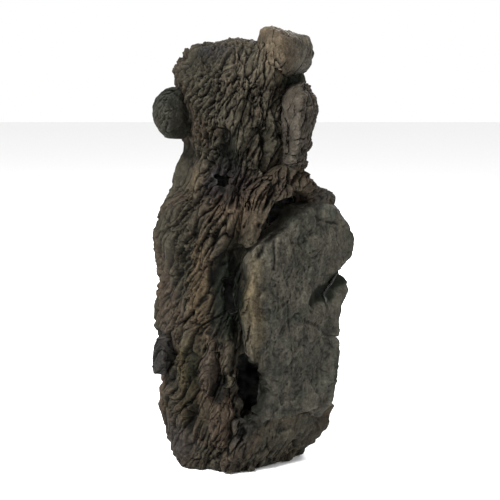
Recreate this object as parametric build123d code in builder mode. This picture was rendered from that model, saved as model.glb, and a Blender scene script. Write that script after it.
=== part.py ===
from build123d import *
import os
from math import cos, radians, sin

# Hollow aquarium cave ornament in cast resin, a rock tower built up from separate castings.
# Millimetres, +Z up. The origin is under the middle of the tower, on the face it stands on.
# The tower's plan is a rough diamond with its sharpest corner to the front, at -Y.

os.makedirs("parts", exist_ok=True)

# Heights of the stack, from the floor up
PAD_TOP = 3
BASE_PLATE_TOP = 9
POCKET_TOP = 24
CAVE_FLOOR = 32
PLINTH_TOP = 46
HEAD_SEAM = 256
HEAD_HOLLOW_TOP = 322
CROWN_SHELF = 342

# Walls of the hollow castings, measured at the corners of their plan
WALL = 13
HEAD_WALL = 20
SEAT_WALL = 10
SLAB_THICKNESS = 20
SHELL_SEAM_Y = 6

# Fibre rods in blind bores hold the castings together, with room for glue round each rod
ROD_RADIUS = 1.5
BORE_RADIUS = 1.6
ROD_END_GAP = 0.5

# The flat seat of the smooth slab runs up the front right of the tower
SLAB_ANGLE = 34
SLAB_CORNER = (-2, -60)

# Where the four corners of a rock's plan lie, as shares of its depth or width
LEFT_CORNER_SHARE = 0.58
FRONT_CORNER_SHARE = 0.44
RIGHT_CORNER_SHARE = 0.50
BACK_CORNER_SHARE = 0.52
# How far the point between two corners swells towards the enclosing rectangle
FULLNESS = (0.30, 0.12, 0.35, 0.35)

# Sections of each rock, lowest first: height, then its left, right, front and back extremes
PLINTH_LEVELS = (
    (3, -71, 50, -56, 50),
    (14, -75, 60, -58, 54),
    (30, -80, 69, -60, 58),
    (46, -83, 73, -60, 60),
)
TOWER_LEVELS = (
    (46, -83, 72, -56, 60),
    (66, -80, 73, -56, 61),
    (94, -80, 76, -56, 62),
    (118, -86, 77, -56, 62),
    (156, -82, 78, -55, 61),
    (200, -86, 79, -54, 60),
    (224, -80, 76, -52, 56),
    (242, -71, 64, -48, 52),
    (256, -65, 50, -44, 48),
)
HEAD_LEVELS = (
    (256, -65, 46, -44, 48),
    (272, -60, 47, -42, 46),
    (292, -62, 47, -45, 46),
    (314, -66, 47, -47, 46),
    (337, -68, 46, -46, 44),
    (354, -58, 40, -40, 36),
    (364, -50, 30, -34, 30),
    (371, -40, 12, -22, 20),
)
CROWN_LEVELS = (
    (342, 6, 51, -38, 30),
    (356, 6, 52, -37, 28),
    (371, 6, 51, -31, 24),
    (377, 8, 42, -24, 18),
    (380, 9, 27, -14, 10),
)
NECK_BOULDER_LEVELS = (
    (262, 26, 46, -34, 4),
    (274, 24, 51, -41, 8),
    (298, 24, 54, -43, 10),
    (314, 26, 57, -40, 8),
    (326, 27, 54, -34, 4),
    (333, 32, 46, -24, -4),
)
KNOB_LEVELS = (
    (287, -76, -60, -20, -5),
    (295, -82, -52, -29, 4),
    (308, -85, -50, -33, 8),
    (322, -83, -50, -30, 6),
    (331, -74, -56, -20, -2),
)
FLANK_STONE_LEVELS = (
    (80, -82, -68, -16, 4),
    (90, -88, -66, -22, 10),
    (102, -88, -66, -22, 10),
    (112, -81, -70, -12, 2),
)
CLEFT_SHARD_LEVELS = (
    (69, -38, -31, -52, -43),
    (84, -46, -28, -59, -42),
    (100, -44, -27, -58, -42),
    (117, -36, -30, -52, -43),
)
SLIM_SHARD_LEVELS = (
    (78, -22, -16, -53, -45),
    (94, -25, -15, -59, -45),
    (114, -24, -15, -59, -45),
    (131, -20, -16, -53, -46),
)
TOE_STONE_LEVELS = (
    (26, -30, -20, -60, -51),
    (40, -35, -16, -63, -48),
    (58, -34, -17, -62, -47),
    (72, -28, -22, -55, -47),
)

# Outlines on the slab's seat: distance along the seat, then height
SLAB_OUTLINE = (
    (-2, 110),
    (9, 99),
    (20, 84),
    (22, 68),
    (16, 52),
    (14, PLINTH_TOP),
    (85, PLINTH_TOP),
    (94, 58),
    (99, 92),
    (96, 112),
    (84, 118),
    (86, 150),
    (104, 172),
    (114, 180),
    (115, 198),
    (107, 215),
    (90, 232),
    (73, 232),
    (54, 229),
    (38, 213),
    (25, 206),
    (7, 201),
    (-2, 188),
    (2, 168),
    (-3, 146),
)
FLAKE_OUTLINE = (
    (84, 118),
    (96, 112),
    (100, 130),
    (108, 162),
    (104, 169),
    (86, 150),
)
SHOULDER_OUTLINE = (
    (2, 200),
    (11, 204),
    (15, 217),
    (30, 237),
    (46, 245),
    (60, 243),
    (67, 239),
    (73, 232),
    (90, 232),
    (96, 236),
    (84, 243),
    (68, 249),
    (59, 260),
    (50, 268),
    (36, 262),
    (22, 245),
    (10, 222),
)
FACE_DEPTH = 7
FACE_TAPER = 25
FLAKE_THICKNESS = 17
SHOULDER_THICKNESS = 18

# Mouths of the cave, cut straight back through the front wall: middle x, middle z, width, height
LOWER_MOUTH = (1, 76, 26, 56)
CLEFT_MOUTH = (-19, 156, 18, 44)
SHOULDER_MOUTH = (27, 226, 26, 26)
NECK_MOUTH = (-22, 253, 28, 22)
MOUTH_CORNER = 5
MOUTH_START_Y = -75
MOUTH_DEPTH = 77

# Ballast, and the plate and pad that close the foot
POCKET_WALL = 12
PLATE_CLEARANCE = 0.3
BALLAST_SIZE = (52, 44, 13)
BALLAST_MIDDLE = (-8, 0)
BALLAST_CHAMFER = 2
PAD_INSET = 9
VENT_RADIUS = 3
VENT_PLACES = ((-46, 5), (29, 3))


def seat_point(along, outward):
    """Give the plan place of a point along the slab's face line and outward from it."""
    along_x = cos(radians(SLAB_ANGLE))
    along_y = sin(radians(SLAB_ANGLE))
    return (
        SLAB_CORNER[0] + along * along_x + outward * along_y,
        SLAB_CORNER[1] + along * along_y - outward * along_x,
    )


ALONG_SEAT = (cos(radians(SLAB_ANGLE)), sin(radians(SLAB_ANGLE)), 0)
OUT_OF_SEAT = (sin(radians(SLAB_ANGLE)), -cos(radians(SLAB_ANGLE)), 0)
SEAT = Plane(
    origin=(*seat_point(0, -SLAB_THICKNESS), 0),
    x_dir=ALONG_SEAT,
    z_dir=OUT_OF_SEAT,
)
SHELL_SEAM = Plane(origin=(0, SHELL_SEAM_Y, 0), z_dir=(0, 1, 0))


def on_seat(along, height):
    """Give the point of the slab's seat at a distance along it and a height."""
    return (*seat_point(along, -SLAB_THICKNESS), height)


# Rods in each group: the middle of the rod, its direction and its length
UP = (0, 0, 1)
BACK = (0, 1, 0)
LEFT = (-1, 0, 0)
PLINTH_ROD = 22
HEAD_ROD = 15
SEAM_ROD = 18
SEAT_ROD = 14
STONE_ROD = 10
RODS = {
    "plinth_rods": [
        ((-75, 9, PLINTH_TOP), UP, PLINTH_ROD),
        ((-35, -40, PLINTH_TOP), UP, PLINTH_ROD),
        ((57.5, 17, PLINTH_TOP), UP, PLINTH_ROD),
        ((-2, 54, PLINTH_TOP), UP, PLINTH_ROD),
    ],
    "seam_rods": [
        ((-66, SHELL_SEAM_Y, 62), BACK, SEAM_ROD),
        ((-70.5, SHELL_SEAM_Y, 205), BACK, SEAM_ROD),
        ((51, SHELL_SEAM_Y, 80), ALONG_SEAT, SEAT_ROD),
        ((51, SHELL_SEAM_Y, 190), ALONG_SEAT, SEAT_ROD),
    ],
    "head_rods": [
        ((-58.5, 9, HEAD_SEAM), UP, HEAD_ROD),
        ((-8, 42.5, HEAD_SEAM), UP, HEAD_ROD),
        ((29, 29.5, HEAD_SEAM), UP, HEAD_ROD),
    ],
    "slab_rods": [
        (on_seat(32, 64), OUT_OF_SEAT, SEAT_ROD),
        (on_seat(76, 100), OUT_OF_SEAT, SEAT_ROD),
        (on_seat(20, 180), OUT_OF_SEAT, SEAT_ROD),
        (on_seat(80, 210), OUT_OF_SEAT, SEAT_ROD),
    ],
    "shoulder_rods": [
        (on_seat(27, 243), OUT_OF_SEAT, SEAT_ROD),
        (on_seat(79, 237.5), OUT_OF_SEAT, SEAT_ROD),
    ],
    "flake_rod": [(on_seat(93, 140), OUT_OF_SEAT, SEAT_ROD)],
    "crown_rods": [
        ((22, 0, CROWN_SHELF), UP, SEAT_ROD),
        ((36, -2, CROWN_SHELF), UP, SEAT_ROD),
    ],
    "neck_boulder_rod": [((29, -10, 298), OUT_OF_SEAT, STONE_ROD)],
    "knob_rod": [((-50, -12.5, 308), LEFT, STONE_ROD)],
    "flank_stone_rod": [((-66, -6, 97), LEFT, STONE_ROD)],
    "cleft_shard_rod": [((-35, -42, 92), BACK, STONE_ROD)],
    "slim_shard_rod": [((-20, -46, 112), BACK, STONE_ROD)],
    "toe_stone_rod": [((-26, -49, 38), BACK, STONE_ROD)],
}


def outline(points):
    """Draw a closed straight-sided outline and fill it."""
    with BuildLine() as sides:
        Polyline(*points, close=True)
    make_face(sides.edges())


def plan_points(left, right, front, back):
    """Give the eight corners of a rock's plan that reaches four extremes."""
    width = right - left
    depth = back - front
    corners = (
        (left, front + LEFT_CORNER_SHARE * depth),
        (left + FRONT_CORNER_SHARE * width, front),
        (right, front + RIGHT_CORNER_SHARE * depth),
        (left + BACK_CORNER_SHARE * width, back),
    )
    enclosing = ((left, front), (right, front), (right, back), (left, back))
    points = []
    for side in range(len(corners)):
        start = corners[side]
        end = corners[(side + 1) % len(corners)]
        swell = FULLNESS[side]
        between = [
            (start[axis] + end[axis]) / 2 * (1 - swell) + enclosing[side][axis] * swell
            for axis in (0, 1)
        ]
        points += [start, tuple(between)]
    return points


def rock(levels, mode=Mode.ADD):
    """Loft a faceted rock through its levels, or cut it away."""
    sections = []
    for height, *extremes in levels:
        with BuildSketch(Plane.XY.offset(height)) as section:
            outline(plan_points(*extremes))
        sections.append(section.sketch)
    loft(sections, ruled=True, mode=mode)


def extremes_at(levels, height):
    """Interpolate a rock's left, right, front and back extremes at a height."""
    for below, above in zip(levels, levels[1:]):
        if below[0] <= height <= above[0]:
            share = (height - below[0]) / (above[0] - below[0])
            return [low + share * (high - low) for low, high in zip(below[1:], above[1:])]
    raise ValueError(f"no section at {height}")


def inset_levels(levels, wall, low, high):
    """Give the levels of the hollow inside a rock, between two heights."""
    heights = [low] + [level[0] for level in levels if low < level[0] < high] + [high]
    hollow = []
    for height in heights:
        left, right, front, back = extremes_at(levels, height)
        hollow.append((height, left + wall, right - wall, front + wall, back - wall))
    return hollow


def round_bar(middle, direction, radius, length, mode=Mode.ADD):
    """Add or cut a round bar about its middle."""
    with Locations(Plane(origin=middle, z_dir=direction)):
        Cylinder(radius, length, mode=mode)


def bores(*groups):
    """Cut the blind bores that take the rods of the named groups."""
    for group in groups:
        for middle, direction, length in RODS[group]:
            round_bar(middle, direction, BORE_RADIUS, length + 2 * ROD_END_GAP, Mode.SUBTRACT)


def mouth(middle_x, middle_z, width, height):
    """Cut one round-cornered mouth back through the front wall."""
    start = Plane(origin=(middle_x, MOUTH_START_Y, middle_z), x_dir=(1, 0, 0), z_dir=(0, -1, 0))
    with BuildSketch(start) as opening:
        RectangleRounded(width, height, MOUTH_CORNER)
    extrude(opening.sketch, amount=-MOUTH_DEPTH, mode=Mode.SUBTRACT)


def vents():
    """Cut the two vents straight down through the foot."""
    with Locations(*[(x, y, POCKET_TOP) for x, y in VENT_PLACES]):
        Cylinder(VENT_RADIUS, 2 * POCKET_TOP, mode=Mode.SUBTRACT)


# Hollow of the cave, cut off parallel to the slab's seat so the wall behind the slab stays even
with BuildPart() as cave:
    rock(inset_levels(TOWER_LEVELS, WALL, PLINTH_TOP, HEAD_SEAM))
    split(bisect_by=SEAT.offset(-SEAT_WALL), keep=Keep.BOTTOM)

with BuildPart() as cave_bottom:
    rock(inset_levels(PLINTH_LEVELS, WALL, CAVE_FLOOR, PLINTH_TOP))
    split(bisect_by=SEAT.offset(-SEAT_WALL), keep=Keep.BOTTOM)


def foot_plan(inset, clearance=0):
    """Draw the plan of the foot, drawn in from the plinth's lowest section."""
    left, right, front, back = PLINTH_LEVELS[0][1:]
    drawn_in = inset + clearance
    outline(plan_points(left + drawn_in, right - drawn_in, front + drawn_in, back - drawn_in))


# Pad: soft sheet under the foot that keeps resin off the glass
with BuildPart() as base_pad:
    with BuildSketch():
        foot_plan(PAD_INSET)
    extrude(amount=PAD_TOP)
    vents()
base_pad.part.label = "base_pad"
export_step(base_pad.part, "parts/base_pad.step")

# Base plate: closes the ballast pocket, glued in from below
with BuildPart() as base_plate:
    with BuildSketch(Plane.XY.offset(PAD_TOP)):
        foot_plan(POCKET_WALL, PLATE_CLEARANCE)
    extrude(amount=BASE_PLATE_TOP - PAD_TOP)
    vents()
base_plate.part.label = "base_plate"
export_step(base_plate.part, "parts/base_plate.step")

# Ballast: dense block that makes the tower stand firm under water
with BuildPart() as ballast_block:
    with Locations((*BALLAST_MIDDLE, BASE_PLATE_TOP)):
        Box(*BALLAST_SIZE, align=(Align.CENTER, Align.CENTER, Align.MIN))
    chamfer(ballast_block.edges().filter_by(Axis.Z), BALLAST_CHAMFER)
ballast_block.part.label = "ballast_block"
export_step(ballast_block.part, "parts/ballast_block.step")

# Plinth: the foot, with the cave floor across it and the ballast pocket below
with BuildPart() as plinth:
    rock(PLINTH_LEVELS)
    add(cave_bottom.part, mode=Mode.SUBTRACT)
    with BuildSketch(Plane.XY.offset(PAD_TOP)):
        foot_plan(POCKET_WALL)
    extrude(amount=POCKET_TOP - PAD_TOP, mode=Mode.SUBTRACT)
    vents()
    rock(TOE_STONE_LEVELS, mode=Mode.SUBTRACT)
    bores("plinth_rods", "toe_stone_rod")
plinth.part.label = "plinth"
export_step(plinth.part, "parts/plinth.step")


def tower_wall():
    """Make the whole hollow wall of the tower, with the flat seat for the slab."""
    rock(TOWER_LEVELS)
    split(bisect_by=SEAT, keep=Keep.BOTTOM)
    add(cave.part, mode=Mode.SUBTRACT)


def seat_block(points, thickness, mode=Mode.ADD):
    """Raise a block of even thickness from the slab's seat, or cut it away."""
    with BuildSketch(SEAT) as foot:
        outline(points)
    extrude(foot.sketch, amount=thickness, mode=mode)


# Front shell: the craggy front of the tower, with the mouths of the cave
with BuildPart() as front_shell:
    tower_wall()
    split(bisect_by=SHELL_SEAM, keep=Keep.BOTTOM)
    for opening in (LOWER_MOUTH, CLEFT_MOUTH, SHOULDER_MOUTH, NECK_MOUTH):
        mouth(*opening)
    for bedded in (FLANK_STONE_LEVELS, CLEFT_SHARD_LEVELS, SLIM_SHARD_LEVELS, TOE_STONE_LEVELS):
        rock(bedded, mode=Mode.SUBTRACT)
    bores("plinth_rods", "seam_rods", "head_rods", "slab_rods", "shoulder_rods", "flake_rod")
    bores("flank_stone_rod", "cleft_shard_rod", "slim_shard_rod")
front_shell.part.label = "front_shell"
export_step(front_shell.part, "parts/front_shell.step")

# Back shell: the closed back of the tower
with BuildPart() as back_shell:
    tower_wall()
    split(bisect_by=SHELL_SEAM, keep=Keep.TOP)
    rock(FLANK_STONE_LEVELS, mode=Mode.SUBTRACT)
    bores("plinth_rods", "seam_rods", "head_rods", "slab_rods", "shoulder_rods", "flake_rod")
back_shell.part.label = "back_shell"
export_step(back_shell.part, "parts/back_shell.step")

# Side slab: the smooth slab on the front right, thinning towards its rim
with BuildPart() as side_slab:
    seat_block(SLAB_OUTLINE, SLAB_THICKNESS - FACE_DEPTH)
    with BuildSketch(SEAT.offset(SLAB_THICKNESS - FACE_DEPTH)):
        outline(SLAB_OUTLINE)
    extrude(amount=FACE_DEPTH, taper=FACE_TAPER)
    bores("slab_rods")
side_slab.part.label = "side_slab"
export_step(side_slab.part, "parts/side_slab.step")

# Edge flake: the thin blade beside the slab's waist
with BuildPart() as edge_flake:
    seat_block(FLAKE_OUTLINE, FLAKE_THICKNESS)
    bores("flake_rod")
edge_flake.part.label = "edge_flake"
export_step(edge_flake.part, "parts/edge_flake.step")

# Shoulder arch: the ridge that arches over the upper mouth, between the neck and the slab
with BuildPart() as shoulder_arch:
    seat_block(SHOULDER_OUTLINE, SHOULDER_THICKNESS)
    rock(NECK_BOULDER_LEVELS, mode=Mode.SUBTRACT)
    bores("shoulder_rods")
shoulder_arch.part.label = "shoulder_arch"
export_step(shoulder_arch.part, "parts/shoulder_arch.step")

# Head block: the overhanging head, hollow from below, with a shelf for the crown
with BuildPart() as head_block:
    rock(HEAD_LEVELS)
    rock(inset_levels(HEAD_LEVELS, HEAD_WALL, HEAD_SEAM, HEAD_HOLLOW_TOP), mode=Mode.SUBTRACT)
    mouth(*NECK_MOUTH)
    seat_block(SHOULDER_OUTLINE, SHOULDER_THICKNESS, mode=Mode.SUBTRACT)
    for bedded in (CROWN_LEVELS, NECK_BOULDER_LEVELS, KNOB_LEVELS):
        rock(bedded, mode=Mode.SUBTRACT)
    bores("head_rods", "crown_rods", "neck_boulder_rod", "knob_rod")
head_block.part.label = "head_block"
export_step(head_block.part, "parts/head_block.step")

# Smaller rocks, each cast solid and bedded in the casting behind it
SMALL_ROCKS = {
    "crown_block": (CROWN_LEVELS, ("crown_rods",)),
    "neck_boulder": (NECK_BOULDER_LEVELS, ("neck_boulder_rod",)),
    "knob_boulder": (KNOB_LEVELS, ("knob_rod",)),
    "flank_stone": (FLANK_STONE_LEVELS, ("flank_stone_rod",)),
    "cleft_shard": (CLEFT_SHARD_LEVELS, ("cleft_shard_rod",)),
    "slim_shard": (SLIM_SHARD_LEVELS, ("slim_shard_rod",)),
    "toe_stone": (TOE_STONE_LEVELS, ("toe_stone_rod",)),
}
for name, (levels, groups) in SMALL_ROCKS.items():
    with BuildPart() as small_rock:
        rock(levels)
        bores(*groups)
    small_rock.part.label = name
    export_step(small_rock.part, f"parts/{name}.step")

# Rods: cut fibre rod, one group for each joint between castings
for name, group in RODS.items():
    with BuildPart() as rods:
        for middle, direction, length in group:
            round_bar(middle, direction, ROD_RADIUS, length)
    rods.part.label = name
    export_step(rods.part, f"parts/{name}.step")
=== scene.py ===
import math

import bmesh
import bpy
import numpy as np
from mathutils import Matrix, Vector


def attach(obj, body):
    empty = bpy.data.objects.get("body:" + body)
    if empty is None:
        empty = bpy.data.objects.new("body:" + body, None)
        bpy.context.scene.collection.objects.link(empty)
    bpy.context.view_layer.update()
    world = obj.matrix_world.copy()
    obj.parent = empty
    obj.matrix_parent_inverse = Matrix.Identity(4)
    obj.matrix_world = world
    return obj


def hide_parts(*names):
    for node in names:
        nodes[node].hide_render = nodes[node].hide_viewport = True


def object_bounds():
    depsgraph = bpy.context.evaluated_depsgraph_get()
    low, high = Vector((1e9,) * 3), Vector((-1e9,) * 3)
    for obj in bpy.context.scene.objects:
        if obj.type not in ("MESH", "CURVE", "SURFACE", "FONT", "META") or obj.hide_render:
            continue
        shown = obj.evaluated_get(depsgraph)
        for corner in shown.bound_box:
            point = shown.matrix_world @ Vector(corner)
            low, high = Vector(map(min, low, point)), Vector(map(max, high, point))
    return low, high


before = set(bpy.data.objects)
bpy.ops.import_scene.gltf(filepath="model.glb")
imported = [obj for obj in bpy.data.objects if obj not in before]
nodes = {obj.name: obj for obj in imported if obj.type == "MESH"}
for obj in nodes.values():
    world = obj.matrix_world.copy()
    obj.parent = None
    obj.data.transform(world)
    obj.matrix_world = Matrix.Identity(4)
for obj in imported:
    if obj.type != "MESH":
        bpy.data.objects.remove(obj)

scene = bpy.context.scene
cad_low, cad_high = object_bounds()

# Studio: pale floor, white surround and three soft boxes. The camera looks at the ornament's middle from
# the front, a little from above.
MIDDLE = (cad_low + cad_high) / 2
CAMERA_AIM_HEIGHT = 0.1885
CAMERA_DISTANCE = 1.05
CAMERA_ELEVATION = math.radians(9.0)
CAMERA_LENS = 85.7
FLOOR_REACH = 6.0

camera_data = bpy.data.cameras.new("camera")
camera_data.lens = CAMERA_LENS
camera_data.sensor_width = 36.0
camera_data.clip_start = 0.01
camera = bpy.data.objects.new("camera", camera_data)
scene.collection.objects.link(camera)
camera.location = (
    0.0,
    -CAMERA_DISTANCE * math.cos(CAMERA_ELEVATION),
    CAMERA_AIM_HEIGHT + CAMERA_DISTANCE * math.sin(CAMERA_ELEVATION),
)
camera.rotation_euler = (math.pi / 2 - CAMERA_ELEVATION, 0.0, 0.0)
scene.camera = camera


def soft_box(name, place, size, power):
    """Hang one square soft box and point it at the middle of the ornament."""
    lamp = bpy.data.lights.new(name, "AREA")
    lamp.shape = "SQUARE"
    lamp.size = size
    lamp.energy = power
    box = bpy.data.objects.new(name, lamp)
    scene.collection.objects.link(box)
    box.location = place
    aim = MIDDLE - box.location
    box.rotation_euler = aim.to_track_quat("-Z", "Y").to_euler()


soft_box("key_light", (-0.95, -1.05, 1.45), 0.5, 95.0)
soft_box("fill_light", (1.1, -0.9, 0.7), 0.9, 5.0)
soft_box("back_light", (0.5, 1.3, 1.1), 0.8, 45.0)

surround = bpy.data.worlds.new("surround")
surround.use_nodes = True
surround.node_tree.nodes["Background"].inputs["Color"].default_value = (1.0, 1.0, 1.0, 1.0)
surround.node_tree.nodes["Background"].inputs["Strength"].default_value = 1.0
scene.world = surround
scene.view_settings.view_transform = "Standard"

floor_mesh = bpy.data.meshes.new("floor")
floor_bm = bmesh.new()
bmesh.ops.create_grid(floor_bm, x_segments=1, y_segments=1, size=FLOOR_REACH)
floor_bm.to_mesh(floor_mesh)
floor_bm.free()
floor = bpy.data.objects.new("floor", floor_mesh)
scene.collection.objects.link(floor)


def new_material(name):
    """Start a material and give it back with its node tree and its Principled shader."""
    material = bpy.data.materials.new(name)
    material.use_nodes = True
    tree = material.node_tree
    return material, tree, tree.nodes["Principled BSDF"]


floor_material, _, floor_shader = new_material("pale_floor")
floor_shader.inputs["Base Color"].default_value = (0.86, 0.86, 0.86, 1.0)
floor_shader.inputs["Roughness"].default_value = 0.9
floor_mesh.materials.append(floor_material)

# Tower castings: front shell, back shell, plinth and head, poured in mineral-filled resin from moulds
# taken off layered rock. They are pinned with rods and glued face to face, filler hides the seams, and
# one coat of paint runs over them all. The relief's lengths are in millimetres.
MM = 0.001
ACROSS, BACK, UP = 0, 1, 2

# Noise: gradients for its corners, and large numbers that scatter its cells
GRADIENTS = np.random.default_rng(11).normal(size=(256, 3))
GRADIENTS /= np.linalg.norm(GRADIENTS, axis=1)[:, None]
SCATTER = (374761393, 668265263, 1442695041, 974634777)


def scramble(cell, seed):
    """Hash whole-number cells to unsigned numbers that look random."""
    mixed = cell[:, 0] * SCATTER[0] + cell[:, 1] * SCATTER[1] + cell[:, 2] * SCATTER[2]
    mixed = (mixed + seed * SCATTER[3]).astype(np.uint32)
    mixed = (mixed ^ (mixed >> 13)) * np.uint32(1274126177)
    return mixed ^ (mixed >> 16)


def noise(points, seed):
    """Smooth gradient noise from about -1 to 1 at each point."""
    base = np.floor(points)
    part = points - base
    base = base.astype(np.int64)
    ease = part * part * part * (part * (part * 6 - 15) + 10)
    total = np.zeros(len(points))
    for corner in range(8):
        step = np.array([corner & 1, (corner >> 1) & 1, (corner >> 2) & 1])
        slope = GRADIENTS[scramble(base + step, seed) & 255]
        reach = np.einsum("ij,ij->i", slope, part - step)
        share = np.prod(np.where(step, ease, 1 - ease), axis=1)
        total += reach * share
    return total * 1.6


def cells(points, seed):
    """Split space into cells: distance to the nearest seed, margin to the next, offset and random draw."""
    base = np.floor(points).astype(np.int64)
    nearest = np.full(len(points), 9.0)
    second = np.full(len(points), 9.0)
    offset = np.zeros_like(points)
    draw = np.zeros(len(points))
    for step_x in (-1, 0, 1):
        for step_y in (-1, 0, 1):
            for step_z in (-1, 0, 1):
                cell = base + (step_x, step_y, step_z)
                random_bits = scramble(cell, seed)
                jitter = np.stack([(random_bits >> shift) & 255 for shift in (0, 8, 16)], axis=1) / 255
                away = points - (cell + jitter)
                distance = np.sqrt(np.einsum("ij,ij->i", away, away))
                closer = distance < nearest
                second = np.where(closer, nearest, np.minimum(second, distance))
                offset = np.where(closer[:, None], away, offset)
                draw = np.where(closer, (random_bits >> 24) / 255, draw)
                nearest = np.where(closer, distance, nearest)
    return nearest, second - nearest, offset, draw


def ramp(values, low, high):
    """Ease from 0 at low to 1 at high."""
    share = np.clip((values - low) / (high - low), 0, 1)
    return share * share * (3 - 2 * share)


# The tower as a rough ellipse round its core, the height from which the head's plates are finer, and the
# turn of the rock's layers per millimetre of height
CORE_Y = 2
HALF_WIDTH = 85
HALF_DEPTH = 60
HEAD_MIDDLE = 330
HEAD_RISE = 46
HEAD_FINE = 300
LEAN = 0.0088


def outward(points):
    """Direction away from the tower's core, which turns upward over the top of the head."""
    sideways = points[:, 0] / HALF_WIDTH**2
    forward = (points[:, 1] - CORE_Y) / HALF_DEPTH**2
    upward = np.clip(points[:, 2] - HEAD_MIDDLE, 0, None) / HEAD_RISE**2
    away = np.stack([sideways, forward, upward], axis=1)
    return away / np.maximum(np.linalg.norm(away, axis=1), 1e-6)[:, None]


def leaned(points):
    """Turn points about the tower's core by height, so upright patterns lean to the right."""
    angle = -points[:, 2] * LEAN
    turned = points.copy()
    turned[:, 0] = points[:, 0] * np.cos(angle) - points[:, 1] * np.sin(angle)
    turned[:, 1] = points[:, 0] * np.sin(angle) + points[:, 1] * np.cos(angle)
    return turned, angle


def wander(points, size, seed):
    """Three noises as one push, to make straight things ragged."""
    return np.stack([noise(points / size, seed + step) for step in range(3)], axis=1)


def tilted_cells(points, size, seed, tangent):
    """Cells as plates: a random height each, a tilt across the lean, and the margin between plates."""
    _, margin, offset, draw = cells(points / size, seed)
    across = np.einsum("ij,ij->i", offset * size, tangent)
    return draw - 0.5, across, margin


def crag_relief(points):
    """Height of layered rock: leaning plates that step down to their right, under rough grain."""
    warp = wander(points, 30, 1)
    turned, angle = leaned(points + warp * (4, 4, 5))
    around = np.arctan2(points[:, 1] - CORE_Y, points[:, 0]) + angle
    tangent = np.stack([-np.sin(around), np.cos(around), np.zeros(len(points))], axis=1)
    rough = 0.3 + 0.75 * ramp(noise(points / (21, 21, 28), 40), -0.35, 0.35)

    lumps = noise(turned / (38, 38, 60), 4) * 4.6 + noise(turned / (15, 15, 26), 5) * 2.6
    seam = noise((turned + wander(points, 10, 91) * 1.5) / (10, 10, 62), 92)
    seams = -(1 - ramp(np.abs(seam), 0.0, 0.13)) * 3.4 + ramp(seam, 0.0, 0.5) * 2.0

    head = ramp(points[:, 2], 262, HEAD_FINE)
    finer = turned * np.stack([1 + 0.4 * head, 1 + 0.4 * head, np.ones(len(points))], axis=1)
    finer[:, 2] = HEAD_FINE + (turned[:, 2] - HEAD_FINE) * (1 + 0.5 * head)
    rise, across, margin = tilted_cells(finer, np.array((11.0, 11.0, 32.0)), 6, tangent)
    deep = ramp(noise(turned / (24, 24, 40), 12), -0.3, 0.3)
    plates = rise * 3.8 + across * 0.42 - (1 - ramp(margin, 0.0, 0.15)) * (0.5 + 3.6 * deep) + seams
    side = ramp(np.abs(outward(points)[:, ACROSS]), 0.75, 0.98)
    plates *= (1 - 0.35 * head) * (1 - 0.55 * side)
    rough *= (1 - 0.85 * side) * (1 - 0.3 * ramp(points[:, 1], 8, 30))

    warp = wander(points, 8, 70) * (1.3, 1.3, 1.8)
    rise, across, margin = tilted_cells(turned + warp, np.array((5.6, 5.6, 9.0)), 7, tangent)
    chips = rise * 1.9 + across * 0.34 - (1 - ramp(margin, 0.0, 0.1)) * 0.4

    rise, across, _ = tilted_cells(turned + warp, np.array((3.0, 3.0, 4.6)), 71, tangent)
    scales = rise * 1.5 + across * 0.3

    grain = noise(turned / (4.4, 4.4, 11), 93) * 1.5 + noise(points / 2.1, 9)
    grain = grain + noise(points / 1.3, 10) * 0.45
    pits = ramp(noise(turned / (3.1, 3.1, 5.0), 41), 0.16, 0.42) * -2.5

    pebble, _, _, draw = cells(points / 8.5, 45)
    rubble = ((0.45 - pebble) * 5.5 + draw) * (1 - ramp(points[:, 2] + noise(points / 12, 46) * 6, 12, 26))
    plates = plates * (0.4 + 0.6 * ramp(points[:, 2], 10, 26))
    return lumps + plates + rubble + (chips + scales + grain + pits) * rough


def worn_relief(points, slab):
    """Height of water-worn rock: broad waves, faint upright grooves and pits, with chips on the slab."""
    waves = noise(points / (34, 34, 44), 21) * 2.4 + noise(points / (13, 13, 20), 22) * 1.3
    grooves = noise(points / (3.6, 3.6, 24), 23) * 0.5
    flakes = ramp(noise(points / (11, 11, 17), 24), -0.08, 0.08) * (0.15 + 0.85 * slab)
    worn = ramp(noise(points / 20, 29), -0.3, 0.5)
    pits = ramp(noise(points / 2.6, 25), 0.3, 0.65) * -0.9 * worn
    grit = noise(points / 1.9, 26) * 0.42 + noise(points / 4.2, 27) * 0.6 + noise(points / 1.1, 30) * 0.2
    return waves + grooves + flakes + pits + grit


def along_line(points, line):
    """Distance of each point from a line of straight runs."""
    best = np.full(len(points), 1e9)
    for start, end in zip(line, line[1:]):
        start = np.array(start, float)
        run = np.array(end, float) - start
        share = np.clip((points - start) @ run / (run @ run), 0, 1)
        best = np.minimum(best, np.linalg.norm(points - start - share[:, None] * run, axis=1))
    return best


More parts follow.
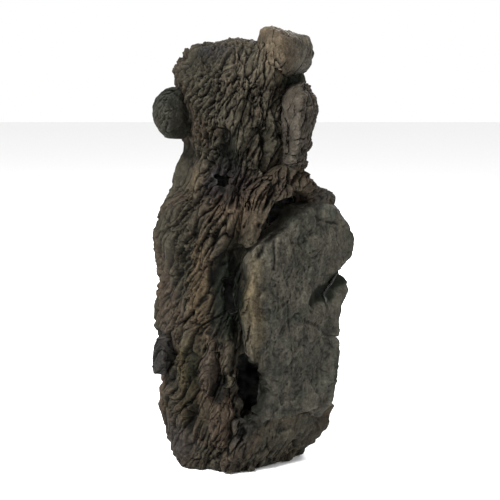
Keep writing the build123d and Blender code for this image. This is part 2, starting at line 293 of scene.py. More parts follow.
# Lines on the rock, each with its half width and its depth or height. The clefts run over front and back,
# the marks and ridges over the slab, and the hollows are broad and soft.
CLEFTS = (
    (((-21, -40, 294), (-19, -41, 279), (-18, -42, 262)), 5.5, 10),
    (((24, -22, 333), (34, -14, 338), (46, -4, 338)), 6, 6),
    (((23, -24, 328), (19, -29, 317), (22, -27, 305), (25, -24, 290)), 3, 6),
    (((5, -34, 296), (7, -33, 294)), 4, 6),
    (((12, -31, 299), (11, -31, 286)), 3.5, 6),
    (((-38, -24, 363), (-22, -24, 369)), 6, 4),
    (((-64, -25, 202), (-70, -13, 180), (-75, -1, 163)), 3, 5),
    (((-55, -34, 182), (-60, -27, 165), (-64, -19, 150)), 3.2, 6),
    (((-25, -48, 183), (-35, -45, 166)), 3.5, 7),
    (((20, -42, 209), (8, -54, 193)), 3, 5),
    (((-4, -44, 214), (8, -40, 236), (20, -32, 250)), 2.2, 5),
    (((-34, -44, 232), (-52, -34, 196), (-60, -28, 182)), 2.4, 5),
    (((-50, -30, 236), (-66, -18, 204)), 2.2, 4),
    (((-26, -46, 214), (-40, -42, 180), (-46, -40, 160)), 2.2, 4),
    (((-50, -36, 140), (-64, -26, 108)), 2.4, 5),
    (((-34, -46, 130), (-46, -42, 106)), 2.4, 5),
    (((48, 42, 232), (30, 52, 170), (14, 56, 110)), 4, 7),
    (((-18, 56, 214), (-34, 48, 150), (-46, 40, 96)), 4, 7),
    (((10, 46, 330), (-6, 48, 280)), 3.5, 6),
    (((62, 26, 150), (46, 40, 96), (34, 46, 60)), 3.5, 6),
    (((-40, 30, 330), (-48, 26, 290)), 3.5, 6),
    (((8, -52, 217), (-8, -47, 203)), 2.6, 4),
    (((-40, -49, 110), (-49, -42, 72)), 5, 13),
    (((-46, -42, 62), (-54, -39, 38)), 4, 8),
    (((-14, -56, 104), (-22, -54, 82), (-36, -51, 62)), 3.4, 12),
    (((-35, -47, 54), (-40, -43, 30)), 3, 8),
    (((-13, -52, 62), (-18, -58, 34)), 3.4, 11),
    (((-68, -13, 97), (-56, -33, 103)), 2.5, 3),
    (((-84, 6, 113), (-74, -14, 112)), 4, 5),
    (((-80, 8, 74), (-70, -10, 76)), 4, 5),
)
SLAB_MARKS = (
    (((40, -29, 226), (60, -18, 219), (79, -6, 214)), 1.6, 2.6),
    (((21, -45, 203), (20, -46, 180)), 1.6, 2.4),
    (((86, 3, 170), (74, -8, 158), (58, -20, 147)), 5, 6.5),
    (((70, -10, 160), (60, -16, 154)), 11, 4),
    (((33, -38, 150), (35, -37, 96)), 1.4, 1.4),
    (((48, -28, 132), (66, -15, 120)), 2.2, 1.6),
)
SLAB_RIDGES = (
    (((8, -54, 190), (3, -57, 155), (5, -56, 120)), 5, 3),
    (((78, -5, 118), (73, -8, 90), (62, -15, 62)), 3.5, 2.5),
)
HOLLOWS = (
    (((-19, -46, 258), (-18, -46, 244)), 15, 9),
    (((-12, -50, 190), (-17, -48, 160), (-26, -48, 130)), 13, 15),
    (((22, -26, 226), (36, -18, 233)), 13, 4),
)
RIDGES = (
    (((-20, -44, 214), (-6, -42, 232), (0, -36, 247), (8, -32, 258)), 4.5, 5),
    (((0, -50, 206), (16, -44, 228), (34, -32, 245), (48, -22, 252)), 5, 5),
    (((-36, -44, 206), (-42, -41, 178), (-49, -39, 150), (-55, -36, 122), (-58, -34, 92)), 8, 5),
    (((-11, -42, 216), (-2, -38, 240), (10, -31, 257)), 6, 4.5),
    (((-30, -45, 234), (-26, -48, 212), (-33, -46, 190)), 6, 3),
)


def stroke(points, strokes):
    """Add up the soft marks that a list of lines leaves on the rock."""
    height = np.zeros(len(points))
    for line, half_width, size in strokes:
        height += size * np.exp(-((along_line(points, line) / half_width) ** 2))
    return height


# Places where the rock is smoother than the crags: middle, reach and how smooth
SMOOTH_ZONES = (
    ((32, -26, 360), (22, 22, 17), 0.9),
    ((46, -14, 304), (16, 26, 30), 0.85),
    ((-54, -38, 92), (16, 20, 40), 0.4),
    ((-44, -48, 40), (20, 18, 24), 0.4),
    ((-74, -8, 305), (18, 22, 26), 1.0),
    ((-52, -24, 258), (12, 16, 16), 0.75),
    ((-60, -30, 20), (20, 24, 15), 0.8),
    ((-44, -42, 165), (9, 14, 50), 0.35),
    ((20, -36, 228), (18, 14, 9), 0.7),
    ((-19, -46, 252), (16, 14, 9), 0.8),
    ((-12, -48, 158), (13, 14, 26), 0.6),
    ((-84, -6, 98), (10, 16, 16), 0.5),
    ((-36, -52, 93), (9, 12, 22), 0.9),
    ((-20, -54, 104), (6, 11, 24), 0.75),
    ((-26, -57, 48), (9, 11, 20), 0.8),
    ((24, 54, 176), (22, 18, 46), 0.7),
    ((-34, 50, 104), (22, 18, 36), 0.65),
    ((4, 46, 318), (24, 18, 26), 0.5),
)

# The slab's front face in plan: its left end, its direction and the way it faces. It fades out into the
# crags between two heights at its top and two at its foot.
SLAB_LINE = np.array((-2.0, -60.0))
SLAB_ALONG = np.array((0.829, 0.559))
SLAB_OUT = np.array((0.559, -0.829))
SLAB_TOP = (222, 238)
SLAB_FOOT = (10, 30)


def near(points, middle, reach):
    """Fall off from 1 at a zone's middle to 0 well outside its reach."""
    return np.exp(-((((points - middle) / reach) ** 2).sum(axis=1)) ** 1.5)


def slab_share(points):
    """1 on the slab's face and on the foot just under it, 0 on the crags."""
    flat = points[:, :2] - SLAB_LINE
    out = flat @ SLAB_OUT
    along = flat @ SLAB_ALONG
    share = ramp(out, -26, -17) * ramp(along, -3, 5)
    share *= 1 - ramp(points[:, 2] + noise(points / 14, 43) * 7, *SLAB_TOP)
    return share * ramp(points[:, 2] + noise(points / 12, 44) * 8, *SLAB_FOOT)


def smoothness(points):
    """How far the smooth zones calm the crags."""
    rest = np.ones(len(points))
    for middle, reach, amount in SMOOTH_ZONES:
        rest *= 1 - amount * near(points, middle, reach)
    return 1 - rest


# Broad swells and dents: middle, reach and height
SWELLS = (
    ((-82, -2, 66), (26, 24, 26), 6),
    ((-64, -24, 12), (20, 16, 18), 7),
    ((54, -6, 268), (12, 24, 13), -6),
    ((-70, -4, 194), (18, 20, 11), 4),
    ((-62, -4, 248), (14, 24, 12), -3),
    ((-86, -8, 291), (10, 20, 8), -4),
    ((-86, -2, 98), (10, 20, 15), -4),
    ((-42, -52, -2), (16, 12, 14), -3),
    ((60, -14, -2), (16, 26, 10), -9),
    ((22, -42, 2), (22, 18, 12), -2.5),
    ((14, -26, 357), (12, 14, 22), 9),
    ((20, -30, 339), (12, 12, 9), 8),
    ((20, -26, 288), (11, 14, 26), 10),
    ((-62, -4, 273), (16, 26, 18), -6),
    ((66, -8, 240), (12, 14, 9), 2),
    ((-82, -4, 128), (14, 20, 24), 4),
    ((68, -2, 50), (8, 14, 8), 4),
    ((40, -10, 337), (16, 16, 8), 7),
    ((-22, 54, 190), (22, 20, 40), 5),
    ((26, 54, 96), (24, 20, 30), 5),
    ((2, 56, 60), (24, 20, 26), -4),
)

# Mouths of the caves: middle, reach, and how far each is drawn in along its width, depth and height
MOUTHS = (
    ((-19, -50, 252), (30, 30, 24), (0.87, 0, 0.76)),
    ((-18, -50, 158), (18, 30, 36), (0.62, 0, 0.3)),
    ((0, -50, 76), (20, 30, 36), (0.1, 0, 0.1)),
    ((-2, -50, 54), (20, 30, 12), (0.4, 0, 0.2)),
    ((4, -50, 92), (18, 30, 14), (-0.2, 0, 0)),
)

# Dents and a swell over the head and the crown, added after the relief there is calmed
TRIMS = (
    ((-36, -6, 378), (22, 50, 12), -4),
    ((-50, -8, 366), (12, 30, 10), 3.5),
    ((42, -4, 386), (13, 40, 9), -6),
)


def swells(points):
    """Add the broad swells and dents."""
    return sum(height * near(points, middle, reach) for middle, reach, height in SWELLS)


def draw_mouths(points):
    """Draw the square-cut mouths in and make their rims wander."""
    moved = points.copy()
    for middle, reach, closing in MOUTHS:
        share = near(points, middle, reach)[:, None]
        rim = wander(points, 12, 60) * (5, 0, 5) + wander(points, 5, 64) * (2, 0, 2)
        moved += share * ((np.array(middle) - points) * closing + rim)
    return moved


# Ends of the rods that lie close under the skin, where the relief must not bite, with how far each is
# covered and how thickly. Elsewhere dents past the soft depth are eased, and the relief is calmed over
# the top.
ROD_ENDS = (
    (-75, 9, 46), (-35, -40, 46), (57.5, 17, 46), (-2, 54, 46),
    (-58.5, 9, 256), (-8, 42.5, 256), (29, 29.5, 256), (-66, 6, 62), (-70.5, 6, 205),
)
ROD_REACH = (11, 11, 20)
ROD_COVER = 2
SOFT_DEPTH = 5
CALM_TOP = (358, 368)


def rock_surface(points, inside):
    """Push points out by the relief of their place, which stays slight inside the cave."""
    points = draw_mouths(points)
    slab = slab_share(points)
    smooth = smoothness(points)
    crag = crag_relief(points)
    plain = worn_relief(points, slab)
    height = crag * (1 - slab) * (1 - smooth) + plain * np.maximum(slab, smooth)
    height += stroke(points, RIDGES + SLAB_RIDGES) - stroke(points, CLEFTS + HOLLOWS + SLAB_MARKS)
    height += swells(points)
    height *= 1 - 0.6 * ramp(points[:, 2], *CALM_TOP)
    height += sum(depth * near(points, middle, reach) for middle, reach, depth in TRIMS)
    height = np.where(height < -SOFT_DEPTH, -SOFT_DEPTH + (height + SOFT_DEPTH) * 0.45, height)
    cover = np.max([near(points, end, ROD_REACH) for end in ROD_ENDS], axis=0)
    height = np.maximum(height, height * (1 - cover) + ROD_COVER * cover)
    height = height * (1 - inside) - noise(points / 7, 90) * 0.8 * inside
    ragged = wander(points, 16, 50) * 1.8 + wander(points, 6, 54) * 0.5
    low = 1 - ramp(points[:, 2], 4, 16)
    ragged[:, 2] = ragged[:, 2] * (1 - low) + np.abs(noise(points / (9, 9, 30), 58)) * 2.5 * low
    return points + ragged + outward(points) * height[:, None]


def recut(node, voxel, passes, grow):
    """Copy a node's solid, let it reach past its seams and recut it into an even skin of small faces."""
    mesh = nodes[node].data.copy()
    bm = bmesh.new()
    bm.from_mesh(mesh)
    bmesh.ops.remove_doubles(bm, verts=bm.verts, dist=1e-6)
    for axis, place, step in grow:
        for vert in bm.verts:
            if abs(vert.co[axis] / MM - place) < 0.01:
                vert.co[axis] += step * MM
    bm.to_mesh(mesh)
    bm.free()
    blank = bpy.data.objects.new("blank", mesh)
    scene.collection.objects.link(blank)
    skin = blank.modifiers.new("skin", "REMESH")
    skin.mode = "VOXEL"
    skin.voxel_size = voxel * MM
    soften = blank.modifiers.new("soften", "SMOOTH")
    soften.iterations = passes
    depsgraph = bpy.context.evaluated_depsgraph_get()
    cut = bpy.data.meshes.new_from_object(blank.evaluated_get(depsgraph))
    bpy.data.objects.remove(blank)
    cut.name = node
    return cut


def points_of(mesh):
    """Read a mesh's points in millimetres."""
    flat = np.empty(len(mesh.vertices) * 3)
    mesh.vertices.foreach_get("co", flat)
    return flat.reshape(-1, 3) / MM


def move_points(mesh, points):
    """Write points in millimetres back to a mesh."""
    mesh.vertices.foreach_set("co", (points * MM).ravel())
    mesh.update()


def spread(values, edges, passes):
    """Average values over the mesh's edges again and again."""
    count = np.bincount(edges.ravel(), minlength=len(values)).astype(float) + 1
    for _ in range(passes):
        total = values.copy()
        for column in range(values.shape[1]):
            total[:, column] += np.bincount(edges[:, 0], values[edges[:, 1], column], len(values))
            total[:, column] += np.bincount(edges[:, 1], values[edges[:, 0], column], len(values))
        values = total / count[:, None]
    return values


def edges_of(mesh):
    """Read the pairs of points that a mesh's edges join."""
    edges = np.empty(len(mesh.edges) * 2, dtype=np.int32)
    mesh.edges.foreach_get("vertices", edges)
    return edges.reshape(-1, 2)


def normals_of(mesh):
    """Read the direction that the surface faces at each point."""
    normals = np.empty(len(mesh.vertices) * 3)
    mesh.vertices.foreach_get("normal", normals)
    return normals.reshape(-1, 3)


# The cave inside the tower, and how far the guides for the dark wash with painted shade and the dry brush
# with painted highlight average the surface
CAVE_Y = 5
CAVE_HALF_DEPTH = 44
CAVE_FLOOR = 12
FINE_PASSES = 5
BROAD_PASSES = 36


def inner_share(mesh):
    """1 on walls that face the tower's core, easing to 0 on the outside."""
    points = points_of(mesh)
    facing = np.einsum("ij,ij->i", normals_of(mesh), outward(points))
    share = spread(ramp(-facing, 0.1, 0.4)[:, None], edges_of(mesh), 6)[:, 0]
    return share * (np.abs(points[:, 1] - CAVE_Y) < CAVE_HALF_DEPTH) * (points[:, 2] > CAVE_FLOOR)


def paint_guides(mesh, clefts):
    """Store how far each point lies in a crevice or on a crest, for the dark wash with painted shade and
    the dry brush with painted highlight.
    """
    points = points_of(mesh)
    edges = edges_of(mesh)
    normals = normals_of(mesh)
    fine = spread(points, edges, FINE_PASSES)
    broad = spread(fine, edges, BROAD_PASSES)
    fine_height = np.einsum("ij,ij->i", points - fine, normals)
    broad_height = np.einsum("ij,ij->i", points - broad, normals)
    recess = np.clip(-fine_height * 1.7 - broad_height * 0.42 + clefts, 0, 1)
    crest = np.clip(fine_height * 1.6 + broad_height * 0.2, 0, 1)
    for name, values in (("recess", recess), ("crest", crest)):
        mesh.attributes.new(name, "FLOAT", "POINT").data.foreach_set("value", values.astype(np.float32))


def finish_piece(mesh, node, material):
    """Make the casting an object that rides with the tower and stands for its node."""
    mesh.polygons.foreach_set("use_smooth", np.ones(len(mesh.polygons), dtype=bool))
    mesh.materials.clear()
    mesh.materials.append(material)
    piece = bpy.data.objects.new(node + "_casting", mesh)
    scene.collection.objects.link(piece)
    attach(piece, "root")
    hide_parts(node)


def group_sockets(tree, inputs, outputs):
    """Give a node group its named inputs and outputs."""
    for name, kind, value in inputs:
        socket = tree.interface.new_socket(name, in_out="INPUT", socket_type=kind)
        socket.default_value = value
    for name, kind in outputs:
        tree.interface.new_socket(name, in_out="OUTPUT", socket_type=kind)
    return tree.nodes.new("NodeGroupInput"), tree.nodes.new("NodeGroupOutput")


def connect(tree, value, socket):
    """Link a socket, or set a plain value."""
    if isinstance(value, bpy.types.NodeSocket):
        tree.links.new(value, socket)
    else:
        socket.default_value = value


def noise_node(tree, scale, detail, coordinates, roughness=0.55):
    """Add a noise texture on the given coordinates."""
    texture = tree.nodes.new("ShaderNodeTexNoise")
    connect(tree, scale, texture.inputs["Scale"])
    texture.inputs["Detail"].default_value = detail
    texture.inputs["Roughness"].default_value = roughness
    tree.links.new(coordinates, texture.inputs["Vector"])
    return texture.outputs["Fac"]


def mix_colours(tree, factor, first, second, blend="MIX"):
    """Mix two colours, each a socket or a plain colour, by a factor."""
    mixer = tree.nodes.new("ShaderNodeMix")
    mixer.data_type = "RGBA"
    mixer.blend_type = blend
    for name, value in (("Factor", factor), ("A", first), ("B", second)):
        connect(tree, value, mixer.inputs[name])
    return mixer.outputs["Result"]


def stretch(tree, value, low, high):
    """Ease a value to the range 0 to 1 between two limits."""
    ranger = tree.nodes.new("ShaderNodeMapRange")
    ranger.interpolation_type = "SMOOTHSTEP"
    connect(tree, value, ranger.inputs["Value"])
    ranger.inputs["From Min"].default_value = low
    ranger.inputs["From Max"].default_value = high
    return ranger.outputs["Result"]


def maths(tree, operation, first, second):
    """Add one sum, difference, product or maximum."""
    node = tree.nodes.new("ShaderNodeMath")
    node.operation = operation
    connect(tree, first, node.inputs[0])
    connect(tree, second, node.inputs[1])
    return node.outputs[0]


def plus(tree, first, second):
    """Add two values."""
    return maths(tree, "ADD", first, second)


def times(tree, first, second):
    """Multiply two values."""
    return maths(tree, "MULTIPLY", first, second)


def attribute(tree, name):
    """Read one of the casting's own painted attributes."""
    reader = tree.nodes.new("ShaderNodeAttribute")
    reader.attribute_name = name
    return reader.outputs


def rgb(red, green, blue):
    """Turn a paint swatch in 0 to 255 steps into linear light."""
    return (*[((step / 255 + 0.055) / 1.055) ** 2.4 for step in (red, green, blue)], 1.0)


# Tinted places on the rock: middle, reach, swatch and strength. The dark swatches marked below are painted
# shade in hollows, clefts, a notch, under the crown and on the knob's right side. The walls inside stay
# bare grey resin.
TINT_AND_SHADE_ZONES = (
    ((24, -26, 360), (14, 20, 22), (57, 49, 38), 0.8),
    ((46, -10, 360), (12, 22, 20), (52, 51, 46), 0.7),
    ((-44, -42, 160), (10, 16, 50), (48, 40, 29), 0.8),
    ((-52, -24, 258), (12, 16, 18), (50, 44, 33), 0.8),
    ((4, -58, 150), (9, 10, 46), (58, 51, 38), 0.8),
    ((-10, -40, 232), (26, 20, 26), (46, 38, 29), 0.6),
    ((-16, -36, 322), (34, 26, 36), (41, 38, 31), 0.55),
    ((2, -34, 350), (18, 22, 28), (50, 46, 38), 0.6),
    # Painted shade: the next eight zones darken the lower hollow, the slab's notch, the upper mouth, the
    # cleft over it and three lower-left clefts.
    ((-17, -44, 156), (17, 20, 42), (11, 13, 9), 1.6),
    ((77, -6, 162), (9, 16, 6), (15, 18, 12), 2.2),
    ((65, -14, 151), (9, 16, 6), (15, 18, 12), 2.2),
    ((-20, -38, 252), (22, 20, 15), (15, 14, 16), 1.4),
    ((-19, -40, 277), (8, 16, 18), (12, 13, 10), 1.4),
    ((-50, -42, 88), (6.5, 18, 15), (12, 14, 8), 3.5),
    ((-53, -40, 56), (6, 18, 14), (13, 13, 9), 3),
    ((-26, -54, 76), (4.5, 16, 9), (12, 11, 9), 3),
    ((-8, -54, 42), (9, 14, 15), (31, 30, 28), 0.8),
    # Painted shade: the next two zones darken the lower mouth and the hollow over the slab's top.
    ((2, -44, 70), (15, 22, 32), (17, 17, 14), 1.2),
    ((24, -34, 228), (19, 18, 10), (20, 20, 15), 1.0),
    ((-52, -40, 66), (22, 22, 34), (39, 32, 22), 0.5),
    # Painted shade: the next two zones darken the recess under the crown and the knob's right side.
    ((34, -12, 337), (14, 16, 8), (13, 17, 13), 1.0),
    ((-58, -22, 300), (8, 14, 22), (18, 17, 13), 0.8),
    ((-62, -24, 24), (22, 24, 16), (28, 26, 26), 0.7),
    # Painted shade in the hollow at the head's top left.
    ((-36, -28, 364), (18, 18, 10), (22, 22, 24), 0.8),
    ((-58, -34, 92), (9, 16, 30), (42, 38, 26), 0.6),
    ((34, -34, 22), (38, 24, 22), (38, 36, 30), 0.8),
    ((64, -8, 240), (14, 14, 8), (40, 39, 37), 0.8),
    ((-84, -4, 98), (10, 20, 18), (28, 26, 26), 0.8),
    ((44, -14, 318), (14, 20, 10), (52, 48, 41), 0.7),
    ((46, -14, 292), (12, 20, 14), (42, 38, 34), 0.7),
)
BARE_RESIN = (96, 95, 93)


def paint_tints_and_shade(mesh, points, inside):
    """Store the tint or painted shade of each point's zone, with how strongly it covers the casting's own
    colour.
    """
    wandering = points + wander(points, 13, 80) * 5
    colours = np.zeros((len(points), 4), dtype=np.float32)
    for middle, reach, swatch, strength in TINT_AND_SHADE_ZONES:
        share = near(wandering, middle, reach) * strength
        colours[:, :3] += share[:, None] * np.array(rgb(*swatch)[:3])
        colours[:, 3] += share
    colours[:, :3] /= np.maximum(colours[:, 3], 1e-4)[:, None]
    colours[:, 3] = np.minimum(colours[:, 3], 1)
    bare = inside[:, None]
    colours = (colours * (1 - bare) + np.array(rgb(*BARE_RESIN)) * bare).astype(np.float32)
    mesh.attributes.new("tint_and_shade", "FLOAT_COLOR", "POINT").data.foreach_set("color", colours.ravel())


# Rock paint: three tints drift over the casting, the zones lay their tints and painted shade over them, a
# dark wash with painted shade sits in the crevices, and a dry brush with a painted highlight lights the
# crests.
# Speckle, blotches and upright streaks break up its light.
rock_paint = bpy.data.node_groups.new("rock_paint", "ShaderNodeTree")
paint_in, paint_out = group_sockets(
    rock_paint,
    (
        ("Main", "NodeSocketColor", (0.05, 0.04, 0.03, 1)),
        ("Second", "NodeSocketColor", (0.05, 0.04, 0.03, 1)),
        ("Third", "NodeSocketColor", (0.05, 0.04, 0.03, 1)),
        ("Wash And Shade", "NodeSocketColor", (0.01, 0.01, 0.008, 1)),
        ("Wash And Shade Amount", "NodeSocketFloat", 1.0),
        ("Brush And Highlight Amount", "NodeSocketFloat", 1.0),
        ("Streak Amount", "NodeSocketFloat", 0.0),
    ),
    (("Color", "NodeSocketColor"), ("Roughness", "NodeSocketFloat")),
)
place = rock_paint.nodes.new("ShaderNodeTexCoord").outputs["Object"]
drift = stretch(rock_paint, noise_node(rock_paint, 17, 3, place), 0.38, 0.62)
spots = stretch(rock_paint, noise_node(rock_paint, 46, 4, place), 0.5, 0.72)
tints = mix_colours(rock_paint, drift, paint_in.outputs["Main"], paint_in.outputs["Second"])
tints = mix_colours(rock_paint, spots, tints, paint_in.outputs["Third"])
# The zones' tints and painted shade cover the drifting tints.
zone = attribute(rock_paint, "tint_and_shade")
tints = mix_colours(rock_paint, zone["Alpha"], tints, zone["Color"])
speckle = noise_node(rock_paint, 640, 3, place, 0.75)
blotch = noise_node(rock_paint, 140, 5, place, 0.68)
light = plus(rock_paint, times(rock_paint, speckle, 1.9), times(rock_paint, blotch, 1.7))
mottle = noise_node(rock_paint, 52, 3, place, 0.6)
light = plus(rock_paint, light, times(rock_paint, mottle, 1.2))
upright = rock_paint.nodes.new("ShaderNodeMapping")
upright.inputs["Scale"].default_value = (1.0, 1.0, 0.14)
rock_paint.links.new(place, upright.inputs["Vector"])
streak = maths(rock_paint, "SUBTRACT", noise_node(rock_paint, 210, 3, upright.outputs["Vector"], 0.7), 0.5)
light = plus(rock_paint, light, times(rock_paint, streak, paint_in.outputs["Streak Amount"]))
light = maths(rock_paint, "MAXIMUM", maths(rock_paint, "SUBTRACT", light, 1.35), 0.12)
light_colour = rock_paint.nodes.new("ShaderNodeCombineColor")
for channel in ("Red", "Green", "Blue"):
    rock_paint.links.new(light, light_colour.inputs[channel])
tints = mix_colours(rock_paint, 1.0, tints, light_colour.outputs["Color"], "MULTIPLY")
# Crevices take the dark wash, which is partly painted shade; crests take the dry brush, which is partly a
# painted highlight.
recess = attribute(rock_paint, "recess")["Fac"]
crest = attribute(rock_paint, "crest")["Fac"]
# The dry brush, broken by noise, lightens the crests' tint; it is partly a painted highlight.
broken = stretch(rock_paint, noise_node(rock_paint, 300, 3, place, 0.7), 0.36, 0.6)
brushed_highlight = times(rock_paint, crest, broken)
brushed_highlight = times(rock_paint, brushed_highlight, paint_in.outputs["Brush And Highlight Amount"])
brush_highlight = rock_paint.nodes.new("ShaderNodeVectorMath")
brush_highlight.operation = "SCALE"
rock_paint.links.new(tints, brush_highlight.inputs[0])
rock_paint.links.new(plus(rock_paint, brushed_highlight, 1.0), brush_highlight.inputs["Scale"])
wash_and_shade_share = times(rock_paint, recess, paint_in.outputs["Wash And Shade Amount"])
painted = mix_colours(rock_paint, wash_and_shade_share, brush_highlight.outputs["Vector"], paint_in.outputs["Wash And Shade"])
rock_paint.links.new(painted, paint_out.inputs["Color"])
dullness = plus(rock_paint, times(rock_paint, blotch, 0.35), 0.52)
rock_paint.links.new(dullness, paint_out.inputs["Roughness"])

# Rock grain: fine pits and grit too small to cast as relief
GRIT_HEIGHT = 0.9 * MM
rock_grain = bpy.data.node_groups.new("rock_grain", "ShaderNodeTree")
grain_in, grain_out = group_sockets(
    rock_grain,
    (("Strength", "NodeSocketFloat", 0.5),),
    (("Normal", "NodeSocketVector"),),
)
place = rock_grain.nodes.new("ShaderNodeTexCoord").outputs["Object"]
fine_grit = times(rock_grain, noise_node(rock_grain, 900, 4, place, 0.65), 0.5)
grit = plus(rock_grain, fine_grit, noise_node(rock_grain, 330, 3, place, 0.6))
bump = rock_grain.nodes.new("ShaderNodeBump")
bump.inputs["Distance"].default_value = GRIT_HEIGHT
rock_grain.links.new(grain_in.outputs["Strength"], bump.inputs["Strength"])
rock_grain.links.new(grit, bump.inputs["Height"])
rock_grain.links.new(bump.outputs["Normal"], grain_out.inputs["Normal"])

# Colour of the dark wash, which is also the painted shade in the crevices
DARK_WASH_AND_SHADE = (9, 9, 7)
PAINT_GRAIN = 0.8
PAINT_GLOSS = 0.04
CRAG_TINTS = ((38, 33, 27), (33, 31, 25), (40, 33, 26))


def painted_resin(name, main, second, third, wash_and_shade_amount=0.95, brush_and_highlight_amount=0.9, streaks=0.4):
    """Make painted resin from its three tints."""
    material, tree, shader = new_material(name)
    paint = tree.nodes.new("ShaderNodeGroup")
    paint.node_tree = rock_paint
    for socket, swatch in (("Main", main), ("Second", second), ("Third", third), ("Wash And Shade", DARK_WASH_AND_SHADE)):
        paint.inputs[socket].default_value = rgb(*swatch)
    # How strongly the dark wash lays painted shade in the crevices and the dry brush lays a painted
    # highlight on the crests
    paint.inputs["Wash And Shade Amount"].default_value = wash_and_shade_amount
    paint.inputs["Brush And Highlight Amount"].default_value = brush_and_highlight_amount
    paint.inputs["Streak Amount"].default_value = streaks
    surface = tree.nodes.new("ShaderNodeGroup")
    surface.node_tree = rock_grain
    surface.inputs["Strength"].default_value = PAINT_GRAIN
    tree.links.new(paint.outputs["Color"], shader.inputs["Base Color"])
    tree.links.new(paint.outputs["Roughness"], shader.inputs["Roughness"])
    tree.links.new(surface.outputs["Normal"], shader.inputs["Normal"])
    shader.inputs["Specular IOR Level"].default_value = PAINT_GLOSS
    return material


def casting(node, voxel, passes, grow, material, plump=0.0, reshape=None, hollow=True):
    """Cast one rock: recut its node, give it the relief of its place and paint it.

    Its skin is recut in voxels and smoothed in passes. It may be reshaped and plumped out by what the
    smoothing took. Walls that face the cave stay bare, but for rocks that stand outside it (hollow=False).
    """
    mesh = recut(node, voxel, passes, grow)
    inside = inner_share(mesh) * hollow
    if reshape:
        move_points(mesh, reshape(points_of(mesh)))
    if plump:
        move_points(mesh, points_of(mesh) + normals_of(mesh) * plump)
    # Clefts, slab marks and hollows join the crevice mask, so the dark wash lays painted shade in them too.
    clefts = ramp(stroke(points_of(mesh), CLEFTS + SLAB_MARKS), 3, 9) * 0.75
    clefts = np.maximum(clefts, ramp(stroke(points_of(mesh), HOLLOWS), 4, 13) * 0.55) * (1 - inside)
    move_points(mesh, rock_surface(points_of(mesh), inside))
    paint_guides(mesh, clefts)
    paint_tints_and_shade(mesh, points_of(mesh), inside)
    finish_piece(mesh, node, material)


# Seams of the tower, and how far each casting reaches past them so that the relief leaves no gap. The
# plinth's foot is let down to a skirt that hides the pad.
PLINTH_TOP = 46
HEAD_SEAM = 256
SHELL_SEAM = 6
FOOT = 3
SKIRT = 0.8
OVERLAP = 1.5
SHELL_PASSES = 4
at_plinth = (UP, PLINTH_TOP, -OVERLAP)
at_head = (UP, HEAD_SEAM, OVERLAP)
tower_castings = (
    ("front_shell", 1.03, (at_plinth, at_head, (BACK, SHELL_SEAM, OVERLAP))),
    ("back_shell", 1.5, (at_plinth, at_head, (BACK, SHELL_SEAM, -OVERLAP))),
    ("plinth", 1.05, ((UP, PLINTH_TOP, OVERLAP), (UP, FOOT, SKIRT - FOOT))),
    ("head_block", 0.94, ((UP, HEAD_SEAM, -OVERLAP),)),
)
crag_resin = painted_resin("crag_resin", *CRAG_TINTS)
for node, voxel, grow in tower_castings:
    casting(node, voxel, SHELL_PASSES, grow, crag_resin)

# Side slab and edge flake: two water-worn, greenish rocks, cast solid in the same resin and painted with
# less wash and painted shade in the crevices, less dry brush and painted highlight on the crests, and
# upright streaks. Rods pin them to the tower's flat seat, where they are glued down.
SLAB_VOXEL = 0.88
SLAB_PASSES = 18
FOOT_OVERLAP = 5
PLUMP = 1.0
SLAB_TINTS = ((41, 40, 35), (48, 46, 40), (35, 37, 32))


def slab_lean(points):
    """Draw in the slab's left flank, so only its front face shows beside the central cleft."""
    flat = points[:, :2] - SLAB_LINE
    out = flat @ SLAB_OUT
    along = flat @ SLAB_ALONG
    push = 15 * (1 - ramp(along, 4, 34)) * np.clip(-out / 20, 0, 1)
    moved = points.copy()
    moved[:, :2] += push[:, None] * SLAB_ALONG
    hem = 1 - ramp(points[:, 2], 42, 60)
    moved[:, :2] -= (3.0 * hem)[:, None] * SLAB_OUT
    moved[:, 2] += hem * (noise(points / (16, 16, 40), 47) * 6 - 2)
    return moved


slab_resin = painted_resin("slab_resin", *SLAB_TINTS, wash_and_shade_amount=0.75, brush_and_highlight_amount=0.7, streaks=1.8)
slab_grow = ((UP, PLINTH_TOP, -FOOT_OVERLAP),)
for node in ("side_slab", "edge_flake"):
    casting(node, SLAB_VOXEL, SLAB_PASSES, slab_grow, slab_resin, PLUMP, slab_lean)

# Shoulder arch: the ridge from the neck to the top of the slab, cast solid in resin and painted like the
# crags. It is pinned with rods and glued down, and filler hides its foot.
SMALL_VOXEL = 0.8
SMALL_PASSES = 24
ARCH_FOOT = 232
arch_resin = painted_resin("shoulder_arch_resin", *CRAG_TINTS)
arch_grow = ((UP, ARCH_FOOT, -FOOT_OVERLAP),)
casting(
    "shoulder_arch", SMALL_VOXEL, SMALL_PASSES, arch_grow, arch_resin, PLUMP, hollow=False
)

# Crown block: the tan rock on the head, cast solid in resin and brushed lighter than the rest. Rods pin
# it in the head, and its underside is glued down with its foot run out to the left.
CROWN_TINTS = ((54, 48, 39), (51, 48, 43), (57, 49, 38))
CROWN_UNDERSIDE = (336, 356)


def crown_settle(points):
    """Tuck the crown's underside back into the head and let its foot run out to the left."""
    moved = points.copy()
    under = 1 - ramp(points[:, 2], *CROWN_UNDERSIDE)
    right = ramp(points[:, 0], 24, 50)
    moved[:, 0] -= under * (4 + right)
    moved[:, 1] += under * 6
    return moved


crown_resin = painted_resin("crown_block_resin", *CROWN_TINTS)
casting(
    "crown_block", SMALL_VOXEL, SMALL_PASSES, (), crown_resin, PLUMP, crown_settle, False
)

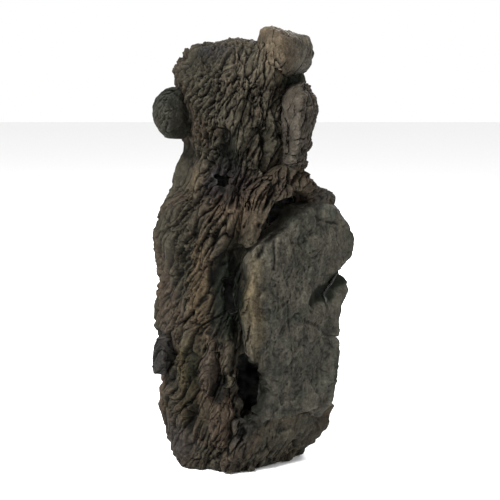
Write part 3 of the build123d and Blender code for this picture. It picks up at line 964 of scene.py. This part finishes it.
# Boulders, shards and stones: small rocks, cast solid in resin and painted one by one. Each is pinned to
# the tower with a rod and glued. The neck boulder is worn round, so it is smoothed the longest.
BOULDER_PASSES = 60
small_rocks = (
    ("neck_boulder", "boulder_resin", BOULDER_PASSES, PLUMP, ((46, 43, 38), (43, 39, 34), (40, 36, 31))),
    ("knob_boulder", "dark_boulder_resin", SMALL_PASSES, 0.0, ((33, 33, 28), (28, 28, 25), (34, 31, 26))),
    ("flank_stone", "dark_boulder_resin", SMALL_PASSES, PLUMP, ((30, 28, 26), (27, 26, 25), (31, 28, 24))),
    ("cleft_shard", "shard_resin", SMALL_PASSES, PLUMP, ((39, 33, 28), (37, 32, 27), (34, 29, 23))),
    ("slim_shard", "shard_resin", SMALL_PASSES, PLUMP, ((38, 36, 29), (39, 34, 28), (36, 32, 24))),
    ("toe_stone", "shard_resin", SMALL_PASSES, PLUMP, ((42, 35, 28), (39, 34, 28), (36, 30, 23))),
)
for node, slot, passes, plump, swatches in small_rocks:
    rock_resin = painted_resin(node + "_resin", *swatches)
    casting(node, SMALL_VOXEL, passes, (), rock_resin, plump, hollow=False)

# Base plate, foam pad, ballast and rods: plain parts inside and under the ornament. The plate is bare
# resin, the pad is die-cut foam, the ballast is poured mortar and the rods are sawn glass fibre, and all
# are glued in.
speckled = bpy.data.node_groups.new("speckled", "ShaderNodeTree")
speckled_in, speckled_out = group_sockets(
    speckled,
    (
        ("Main", "NodeSocketColor", (0.1, 0.1, 0.1, 1)),
        ("Speckle", "NodeSocketColor", (0.2, 0.2, 0.2, 1)),
        ("Scale", "NodeSocketFloat", 300.0),
        ("Roughness", "NodeSocketFloat", 0.7),
    ),
    (("Color", "NodeSocketColor"), ("Roughness", "NodeSocketFloat")),
)
place = speckled.nodes.new("ShaderNodeTexCoord").outputs["Object"]
fleck = noise_node(speckled, speckled_in.outputs["Scale"], 4, place, 0.7)
fleck_share = stretch(speckled, fleck, 0.45, 0.68)
flecked = mix_colours(speckled, fleck_share, speckled_in.outputs["Main"], speckled_in.outputs["Speckle"])
speckled.links.new(flecked, speckled_out.inputs["Color"])
dullness = plus(speckled, speckled_in.outputs["Roughness"], times(speckled, fleck, 0.3))
speckled.links.new(dullness, speckled_out.inputs["Roughness"])


def plain_finish(name, main, speckle, scale, roughness, grain):
    """Make an unpainted finish: a speckled colour with fine grain."""
    material, tree, shader = new_material(name)
    colour = tree.nodes.new("ShaderNodeGroup")
    colour.node_tree = speckled
    colour.inputs["Main"].default_value = rgb(*main)
    colour.inputs["Speckle"].default_value = rgb(*speckle)
    colour.inputs["Scale"].default_value = scale
    colour.inputs["Roughness"].default_value = roughness
    surface = tree.nodes.new("ShaderNodeGroup")
    surface.node_tree = rock_grain
    surface.inputs["Strength"].default_value = grain
    tree.links.new(colour.outputs["Color"], shader.inputs["Base Color"])
    tree.links.new(colour.outputs["Roughness"], shader.inputs["Roughness"])
    tree.links.new(surface.outputs["Normal"], shader.inputs["Normal"])
    return material


plain_parts = (
    ("base_plate", plain_finish("plain_resin", (52, 51, 49), (66, 65, 62), 220, 0.5, 0.25)),
    ("base_pad", plain_finish("black_foam", (24, 24, 24), (38, 38, 38), 1400, 0.7, 0.5)),
    ("ballast_block", plain_finish("mortar", (148, 145, 138), (112, 109, 103), 260, 0.65, 0.6)),
)
fibre_rod = plain_finish("fibre_rod", (196, 188, 160), (176, 166, 134), 900, 0.35, 0.2)
plain_parts += tuple((name, fibre_rod) for name in sorted(nodes) if name.endswith(("_rod", "_rods")))
for node, finish in plain_parts:
    for material_slot in nodes[node].material_slots:
        material_slot.material = finish
